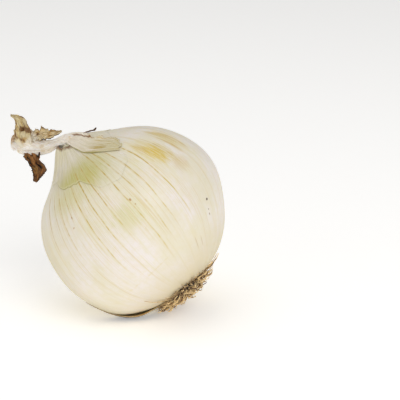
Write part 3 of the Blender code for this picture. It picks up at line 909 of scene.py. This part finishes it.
def makeStalk():
    steps, sides = stalk["steps"], stalk["sides"]
    share, turn = np.meshgrid(np.linspace(0, 1, steps), np.arange(sides) / sides, indexing="ij")
    line = through(stalk["line"], share)
    ahead = through(stalk["line"], share + 0.01) - through(stalk["line"], share - 0.01)
    along = unit(ahead[..., :2])
    upward = np.stack([along[..., 1], -along[..., 0], np.zeros_like(share)], -1)
    outward = np.array([0.0, 0.0, 1.0])
    angle = 2 * math.pi * turn
    twist = angle + 0.5 * np.sin(3.0 * share + 0.4)
    fold = 0.08 * np.cos(5 * twist + 3.0 * share) + 0.06 * crease(4.5 * twist + 2.0 * np.sin(4 * share))
    fold = fold + 0.04 * crease(9 * twist + 1.5 * np.sin(7 * share + 1))
    fold = fold + 0.02 * np.sin(31 * twist + 9 * share)
    toEnd = smooth(share, 0.55, 0.95)
    lumps = 0.10 * toEnd * ripple(6 * np.cos(angle) + 30 * share, 6 * np.sin(angle), 51)
    lumps = lumps + 0.05 * toEnd * ripple(16 * np.cos(angle) + 70 * share, 16 * np.sin(angle), 52)
    size = 1.0 + fold + lumps
    end = np.sqrt(np.clip(1.0 - np.square(smooth(share, 0.955, 1.0)), 0.0, 1.0))  # rounds the far end
    size = size * np.maximum(end, 0.04)
    middle = np.stack([line[..., 0], line[..., 1], np.zeros_like(share)], -1)
    places = upward * (line[..., 2] * np.cos(angle) * size)[..., None]
    places = places + outward * (line[..., 3] * np.sin(angle) * size)[..., None]
    places = (middle + places) * mm
    faces, corners = gridFaces(steps, sides, True, flip=True)
    near, far = steps * sides, steps * sides + 1
    for i in range(sides):
        k = (i + 1) % sides
        last = (steps - 1) * sides
        faces += [[near, k, i], [far, last + i, last + k]]
        corners += [(i, 0), (i + 1, 0), (i, 0), (i, steps), (i, steps - 1), (i + 1, steps - 1)]
    places = np.concatenate([places.reshape(-1, 3), [middle[0, 0] * mm, middle[-1, 0] * mm]])
    cornerMap = np.array(corners, float) / (sides, steps) * (22.0, 32.0)
    height, slope, back = stalk["goldEdge"]
    above = places[:, 1] / mm - height - slope * (places[:, 0] / mm + back)
    golden = smooth(above, -2.0, 0.8) * smooth(-places[:, 0] / mm, 12.0, 19.0)
    # the fold depth, by which dryFinish paints shade in the valleys and highlight on the ridges
    values = {"edge": golden, "fold": np.append((size - 1.0).ravel() * 3.5, [0, 0])}
    made = newPiece("dried_stalk", places, faces, neckFrame, cornerMap, values)
    made.data.materials.append(dryFinish("stalkSkin", stalk["look"], darkness=0.45).material)
    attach(made, "root")
    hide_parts("dry_neck")
    print("stalk:", len(made.data.polygons), "faces")


# The withered leaves at the neck's end, in the neck's plane. line: x, y, z and half width in millimetres,
# and twist in degrees; cup: how deeply it is rolled.
leaves = {
    "curled_leaf_tip": {
        "line": (
            (-20.6, 0.2, 2.2, 2.4, 0), (-21.4, 2.4, 3.0, 3.6, 2), (-22.0, 5.0, 3.0, 4.0, 6),
            (-22.0, 7.9, 2.2, 3.8, 12), (-23.2, 11.1, 1.6, 3.0, 18), (-25.3, 13.4, 0.9, 1.6, 22),
            (-28.2, 14.6, 0.2, 0.4, 25),
        ),
        "cup": 0.45, "serration": 0.06, "crumple": 0.55, "hole": 2.2, "slot": "curled_leaf", "darkness": 1.0,
        "look": {
            "base": (206, 180, 118), "light": (236, 222, 182), "dark": (112, 66, 24), "gold": (192, 144, 58),
            "pale": (240, 230, 210),
        },
    },
    "side_leaf": {
        "line": (
            (-18.2, 4.2, 2.2, 2.4, 8), (-15.2, 5.0, 2.5, 2.8, 10), (-12.4, 5.4, 2.6, 2.6, 10),
            (-9.2, 5.6, 2.3, 2.0, 5), (-4.4, 7.0, 1.2, 0.3, 0),
        ),
        "cup": 0.4, "serration": 0.22, "crumple": 0.6, "slot": "side_leaf", "darkness": 1.1,
        "look": {
            "base": (208, 178, 116), "light": (234, 218, 182), "dark": (100, 58, 24), "gold": (184, 134, 58),
            # the near-black for the lower edge is painted shade
            "pale": (238, 228, 208), "lowerShade": (30, 18, 12),
        },
    },
    "hanging_leaf": {
        "line": (
            (-18.8, -2.6, 0.8, 3.2, 8), (-18.0, -4.8, 1.2, 3.6, 10), (-17.3, -7.6, 1.6, 2.3, 20),
            (-15.2, -10.4, 1.9, 3.3, 15), (-15.6, -13.4, 1.6, 2.1, 8), (-16.7, -16.4, 1.2, 0.7, 0),
        ),
        "cup": 0.5, "serration": 0.06, "crumple": 1.1, "slot": "hanging_leaf", "darkness": 1.35,
        "look": {"base": (82, 48, 19), "light": (168, 112, 52), "dark": (12, 6, 3), "gold": (156, 114, 48)},
    },
}
leafThickness = 0.22 * mm


def makeLeaf(name, leaf, seed):
    line = leaf["line"]

    def surface(u, v):
        row = through(line, v)
        ahead = unit((through(line, v + 0.02) - through(line, v - 0.02))[..., :3])
        side = unit(np.cross(ahead, np.array([0.0, 0.0, 1.0])))
        face = np.cross(side, ahead)
        twist = np.radians(row[..., 4])[..., None]
        c, s = np.cos(twist), np.sin(twist)
        side, face = side * c + face * s, face * c - side * s
        across = 2 * u - 1
        teeth = ripple(v * 26, np.sign(across), seed) + 0.7 * ripple(v * 70, across, seed + 1)
        torn = 1.0 + leaf["serration"] * teeth
        half = row[..., 3] * np.where(np.abs(across) > 0.6, torn, 1.0)
        bend = leaf["cup"] * half * across**2 + 0.25 * leaf["crumple"] * crease(5 * across + 3 * v)
        bend = bend + leaf["crumple"] * 0.45 * ripple(across * 3.2, v * 13, seed + 2)
        bend = bend + leaf["crumple"] * 0.20 * ripple(across * 8, v * 30, seed + 3)
        sway = 0.25 * leaf["crumple"] * ripple(across * 2, v * 9, seed + 4)
        bend = bend - leaf.get("hole", 0.0) * bell(u - 0.42, 0.11) * bell(v - 0.50, 0.05)
        place = row[..., :3] + side * (half * across + sway)[..., None] + face * bend[..., None]
        return place * mm

    def fold(u, v):  # below 0 in the valleys, above 0 on the ridges, far below in the hole; by it dryFinish paints shade in the valleys and highlight on the ridges
        across = 2 * u - 1
        depth = 0.8 * ripple(across * 3.2, v * 13, seed + 2) + 0.5 * ripple(across * 8, v * 30, seed + 3)
        depth = depth + 1.3 * crease(5 * across + 3 * v) + 0.35
        return depth - 4.0 * bool(leaf.get("hole")) * bell(u - 0.42, 0.13) * bell(v - 0.50, 0.05)

    def size(u, v):
        return u * 7.0, v * 14.0

    def pale(u, v):  # the leaf's foot looks like the stalk it grows from
        return 1.0 - smooth(v + 0.06 * ripple(u * 9, v * 9, seed + 5), 0.08, 0.28)

    def lowerShade(u, v):  # painted shade along the dark lower edge
        return smooth(u + 0.03 * ripple(u * 3, v * 16, seed + 6), 0.86, 0.95) * smooth(v, 0.3, 0.45)

    values = {"edge": edgeOf, "fold": fold, "pale": pale, "lowerShade": lowerShade}
    made = sheetPiece(name + "_skin", surface, 110, 64, leafThickness, neckFrame, False, size, values)
    made.data.materials.append(dryFinish(name + "Skin", leaf["look"], leaf["darkness"]).material)
    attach(made, "root")
    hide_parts(name)
    print(name + ":", len(made.data.polygons), "faces")


roots = {
    "matSpread": 14.6,  # degrees from the mat's middle to its rim
    "matShift": (4.0, 1.8),  # degrees that its middle is off the axis, towards the underside and the front
    "matFront": 1.35,  # how much further it spreads towards the front
    "matHeight": 4.9,  # millimetres
    "matRoots": 370,
    "thick": (0.24, 0.42),  # half thickness at the start, millimetres: least and most
    "rimHairs": 170,  # short ones that stick out at the mat's rim
    "hairThick": (0.12, 0.24),
    "sides": 6,
    "segments": 12,
}


def tubes(paths, radii, shades, sides):
    # closed tapering tubes along paths, as one mesh
    places, faces, corners, shade, along = [], [], [], [], []
    for n, (path, radius, lightness) in enumerate(zip(paths, radii, shades)):
        path = np.asarray(path)
        ahead = unit(np.gradient(path, axis=0))
        side = unit(np.cross(ahead, np.array([0.13, 0.31, 0.94])))
        other = np.cross(ahead, side)
        angles = 2 * math.pi * np.arange(sides) / sides
        ring = side[:, None] * np.cos(angles)[None, :, None]
        ring = ring + other[:, None] * np.sin(angles)[None, :, None]
        body = path[:, None] + ring * np.asarray(radius)[:, None, None]
        start, count = len(shade), len(path)
        more, moreCorners = gridFaces(count, sides, True, start=start, flip=True)
        faces += more
        corners += [(c[0], c[1] + 37 * n) for c in moreCorners]
        last = start + (count - 1) * sides
        faces += [list(range(start, start + sides)), list(range(last, last + sides))[::-1]]
        corners += [(k, 37 * n) for k in range(2 * sides)]
        places.append(body.reshape(-1, 3))
        shade += [lightness] * (count * sides)
        along += np.repeat(np.linspace(0, 1, count), sides).tolist()
    cornerMap = np.array(corners, float) * (0.3, 0.5)
    return np.concatenate(places), faces, bulbFrame, cornerMap, {"strand": shade, "along": along}


def matSpot(out, around):
    # degrees down and around of a place on the mat; out is 0 in its middle and 1 at its rim
    x = out * roots["matSpread"] * np.cos(np.radians(around)) + roots["matShift"][0]
    y = out * roots["matSpread"] * np.sin(np.radians(around))
    y = np.where(y > 0, y * roots["matFront"], y) + roots["matShift"][1]
    return 180.0 - np.hypot(x, y), np.degrees(np.arctan2(y, x))


def rootPath(start, heading, length, rise, bend, chance, off=0.3):
    # a root that leaves (down, around) along heading on the skin, wandering and rising off it
    steps = roots["segments"]
    down, around = start
    spots = []
    wander, phase = chance.uniform(0.5, 1.2), chance.uniform(0, 6.3)
    for i in range(steps):
        t = i / (steps - 1)
        turned = heading + bend * t + 0.35 * wander * math.sin(5 * t + phase)
        lift = off + rise * math.sin(min(1.0, t * 1.2) * math.pi / 2)
        lift += 0.25 * wander * math.sin(7 * t + phase)
        spots.append((down, around, max(lift, 0.15)))
        step = math.degrees(length / (steps - 1) / (bulbShape["radius"] / mm))
        down += step * math.cos(turned)
        around += step * math.sin(turned) / max(math.sin(math.radians(min(down, 177.0))), 0.12)
        if down > 179.0:
            down, around, heading = 358.0 - down, around + 180.0, heading + math.pi
    d, a, lifts = np.array(spots).T
    return aboveFloor(onSkin(d, a, mm * lifts + skinRelief(d, a)), bulbFrame, 0.3 * mm)


def taper(radius, count):
    t = np.linspace(0, 1, count)
    return mm * radius * (1.0 - 0.55 * t) * (1.0 + 0.12 * np.sin(19 * t + radius * 40))


def makeRootMat():
    chance = random.Random(12)
    paths, radii, shades = [], [], []
    for n in range(roots["matRoots"]):
        out = math.sqrt(chance.uniform(0.02, 1.0))
        down, around = matSpot(out, chance.uniform(0, 360))
        # most roots lean outwards and wind round the mat, the rim's hug the bulb
        heading = math.pi + chance.gauss(0.0, 0.5) + chance.choice((-1, 1)) * chance.uniform(0.5, 1.5)
        rise = roots["matHeight"] * math.sqrt(1.0 - 0.75 * out * out) * chance.uniform(0.35, 1.15)
        length = chance.uniform(3.5, 8.0)
        path = rootPath((down, around), heading, length, rise, chance.gauss(0, 0.9), chance)
        paths.append(path)
        radii.append(taper(chance.uniform(*roots["thick"]), len(path)))
        shades.append((n * 0.618) % 1.0)
    for n in range(roots["rimHairs"]):  # longest on the front
        side = chance.uniform(0, 360)
        front = float(bell(wrapped(side - 80.0), 60.0))
        heading, length = math.pi + chance.gauss(0, 0.4), chance.uniform(1.5, 4.5) * (1.0 + front)
        rise = chance.uniform(0.2, 2.2) * (1.0 - 0.5 * front)
        path = rootPath(matSpot(0.95, side), heading, length, rise, chance.gauss(0, 0.5), chance)
        paths.append(path)
        radii.append(taper(chance.uniform(*roots["hairThick"]), len(path)))
        shades.append(chance.uniform(0.12, 0.36))
    made = newPiece("root_mat_strands", *tubes(paths, radii, shades, roots["sides"]))
    made.data.materials.append(rootFinish("rootStrands").material)
    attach(made, "root")
    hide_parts("root_mat")
    print("root mat:", len(paths), "roots,", len(made.data.polygons), "faces")


# the dark disc that the roots grow from: partly its own brown and partly painted shade for the gaps between
# the roots
plate = {
    "height": 1.9,  # millimetres, in its middle
    "thickness": 0.15 * mm,
    "look": {"base": (44, 26, 12), "light": (70, 44, 22), "dark": (20, 11, 5), "gold": (56, 34, 16)},
}


def makeRootPlate():
    def surface(u, v):
        x, y = np.cos(2 * math.pi * u), np.sin(2 * math.pi * u)
        down, around = matSpot((1.0 + 0.05 * ripple(5 * x, 5 * y, 61)) * (0.02 + 0.98 * v), 360.0 * u)
        rise = 0.2 + plate["height"] * np.sqrt(np.clip(1 - v**2, 0, 1))
        rise = rise + 0.25 * ripple(20 * v * x, 20 * v * y, 62)
        return aboveFloor(onSkin(down, around, mm * rise + skinRelief(down, around)), bulbFrame, 0.2 * mm)

    def size(u, v):
        return u * 60, v * 15

    thin = plate["thickness"]
    made = sheetPiece("root_plate", surface, 40, 160, thin, bulbFrame, True, size, sheetValues)
    made.data.materials.append(dryFinish("rootPlateAndGapShade", plate["look"], edged=False).material)
    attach(made, "root")
    print("root plate:", len(made.data.polygons), "faces")


# Each stray root: around and down where it starts, degrees that it heads off the straight way up the bulb,
# length, rise and half thickness in millimetres, bend in radians, how many strands, and lightness.
strays = (
    (60, 155, 6, 18.0, 0.5, 0.30, 0.05, 1, 0.30),
    (70, 156, 14, 10.0, 0.9, 0.26, -0.35, 3, 0.26),
    (84, 155, -18, 8.0, 1.0, 0.28, 0.30, 2, 0.24),
    (101, 155, -30, 7.5, 1.2, 0.28, 0.45, 2, 0.28),
    (117, 156, 16, 6.5, 1.6, 0.26, -0.4, 2, 0.22),
    (136, 159, -14, 6.5, 1.6, 0.26, 0.3, 2, 0.26),
    (158, 163, 4, 8.0, 0.8, 0.32, 0.0, 1, 0.0),
    (167, 163, -3, 9.0, 1.0, 0.34, 0.0, 2, 0.7),
    (205, 163, -14, 10.0, 2.0, 0.28, 0.3, 2, 0.5),
    (236, 163, 12, 8.5, 1.6, 0.26, -0.2, 2, 0.4),
    (268, 163, -9, 9.5, 1.2, 0.26, 0.2, 2, 0.6),
    (300, 163, 8, 5.5, 0.6, 0.24, -0.2, 1, 0.5),
)


def makeStrays():
    look = rootFinish("strayRoots").material
    chance = random.Random(77)
    for number, stray in enumerate(strays, start=1):
        around, down, aim, length, rise, thick, bend, strands, light = stray
        paths, radii = [], []
        for n in range(strands):  # each shorter and thinner than the one before
            turn = math.radians(180.0 + aim + 9.0 * n * chance.choice((-1, 1)))
            start = (down + 2.0, around + 1.5 * n)
            path = rootPath(start, turn, length * (1.0 - 0.35 * n), rise, bend, chance, 0.5)
            paths.append(path)
            radii.append(taper(thick * (1.0 - 0.3 * n), len(path)))
        *shape, values = tubes(paths, radii, [light] * strands, roots["sides"])
        # the strays carry no painted shade at their feet
        values["along"] = [1.0] * len(values["strand"])
        made = newPiece(f"stray_root_{number:02d}", *shape, values)
        made.data.materials.append(look)
        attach(made, "root")
        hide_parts(f"long_root_{number:02d}")
    print("stray roots:", len(strays))


makeCollar()
makeSheath()
makeBackShred()
makeBaseSkin()
makeStalk()
for number, (name, leaf) in enumerate(leaves.items()):
    makeLeaf(name, leaf, 100 + 10 * number)
makeRootPlate()
makeRootMat()
makeStrays()


studio = {
    "elevation": 18.0,
    "lens": 110.0,
    "distance": 0.569,
    "aim": (0.0302, 0.0084),  # right of and above the bulb's centre, across the line of sight
    "floor": (252, 251, 249),
    "floorHalf": 40.0,
    "floorDrop": -0.2 * mm,
    "sky": 0.46,
    "glow": 0.29,  # a little light of the floor's own keeps it pale
    "lights": (  # name, place, width across and power
        ("keyLight", (0.45, -0.75, 0.75), 0.8, 4.2),
        ("topLight", (-0.2, 0.1, 1.1), 1.0, 1.6),
        ("fillLight", (-0.7, -0.6, 0.35), 0.8, 0.7),
    ),
}


def makeFloor():
    half = studio["floorHalf"]
    places = [(-half, -half, 0), (half, -half, 0), (half, half, 0), (-half, half, 0)]
    floor = newPiece("floor", places, [[0, 1, 2, 3]], Matrix.Translation((0, 0, studio["floorDrop"])))
    f = Finish("whiteGround", roughness=0.7)
    f.set("Emission Color", (1.0, 0.995, 0.985, 1.0))
    f.set("Emission Strength", studio["glow"])
    grain = f.noise(f.place(), 60.0, 3.0)
    f.set("Base Color", f.mix(f.times(grain, 0.15), tone(*studio["floor"]), tone(247, 246, 243)))
    floor.data.materials.append(f.material)


def makeLight(name, place, size, power):
    lamp = bpy.data.lights.new(name, "AREA")
    lamp.shape = "DISK"
    lamp.size = size
    lamp.energy = power
    made = bpy.data.objects.new(name, lamp)
    bpy.context.scene.collection.objects.link(made)
    made.location = place
    made.rotation_mode = "QUATERNION"
    made.rotation_quaternion = (Vector(place) - bulbCentre).to_track_quat("Z", "Y")


def makeCamera():
    lift = math.radians(studio["elevation"])
    back = Vector((0, -math.cos(lift), math.sin(lift)))
    up = Vector((0, math.sin(lift), math.cos(lift)))
    right, rise = studio["aim"]
    target = bulbCentre + Vector((right, 0, 0)) + up * rise
    data = bpy.data.cameras.new("camera")
    data.lens = studio["lens"]
    data.sensor_width = 36.0
    data.clip_start, data.clip_end = 0.01, 20.0
    camera = bpy.data.objects.new("camera", data)
    bpy.context.scene.collection.objects.link(camera)
    camera.rotation_mode = "QUATERNION"
    camera.rotation_quaternion = back.to_track_quat("Z", "Y")
    camera.location = target + back * studio["distance"]
    bpy.context.scene.camera = camera


def makeStudio():
    makeFloor()
    makeCamera()
    for light in studio["lights"]:
        makeLight(*light)
    world = bpy.data.worlds.new("paleRoom")
    world.use_nodes = True
    world.node_tree.nodes["Background"].inputs["Color"].default_value = (1, 1, 1, 1)
    world.node_tree.nodes["Background"].inputs["Strength"].default_value = studio["sky"]
    bpy.context.scene.world = world
    bpy.context.scene.view_settings.view_transform = "Standard"
    print("studio set")


makeStudio()
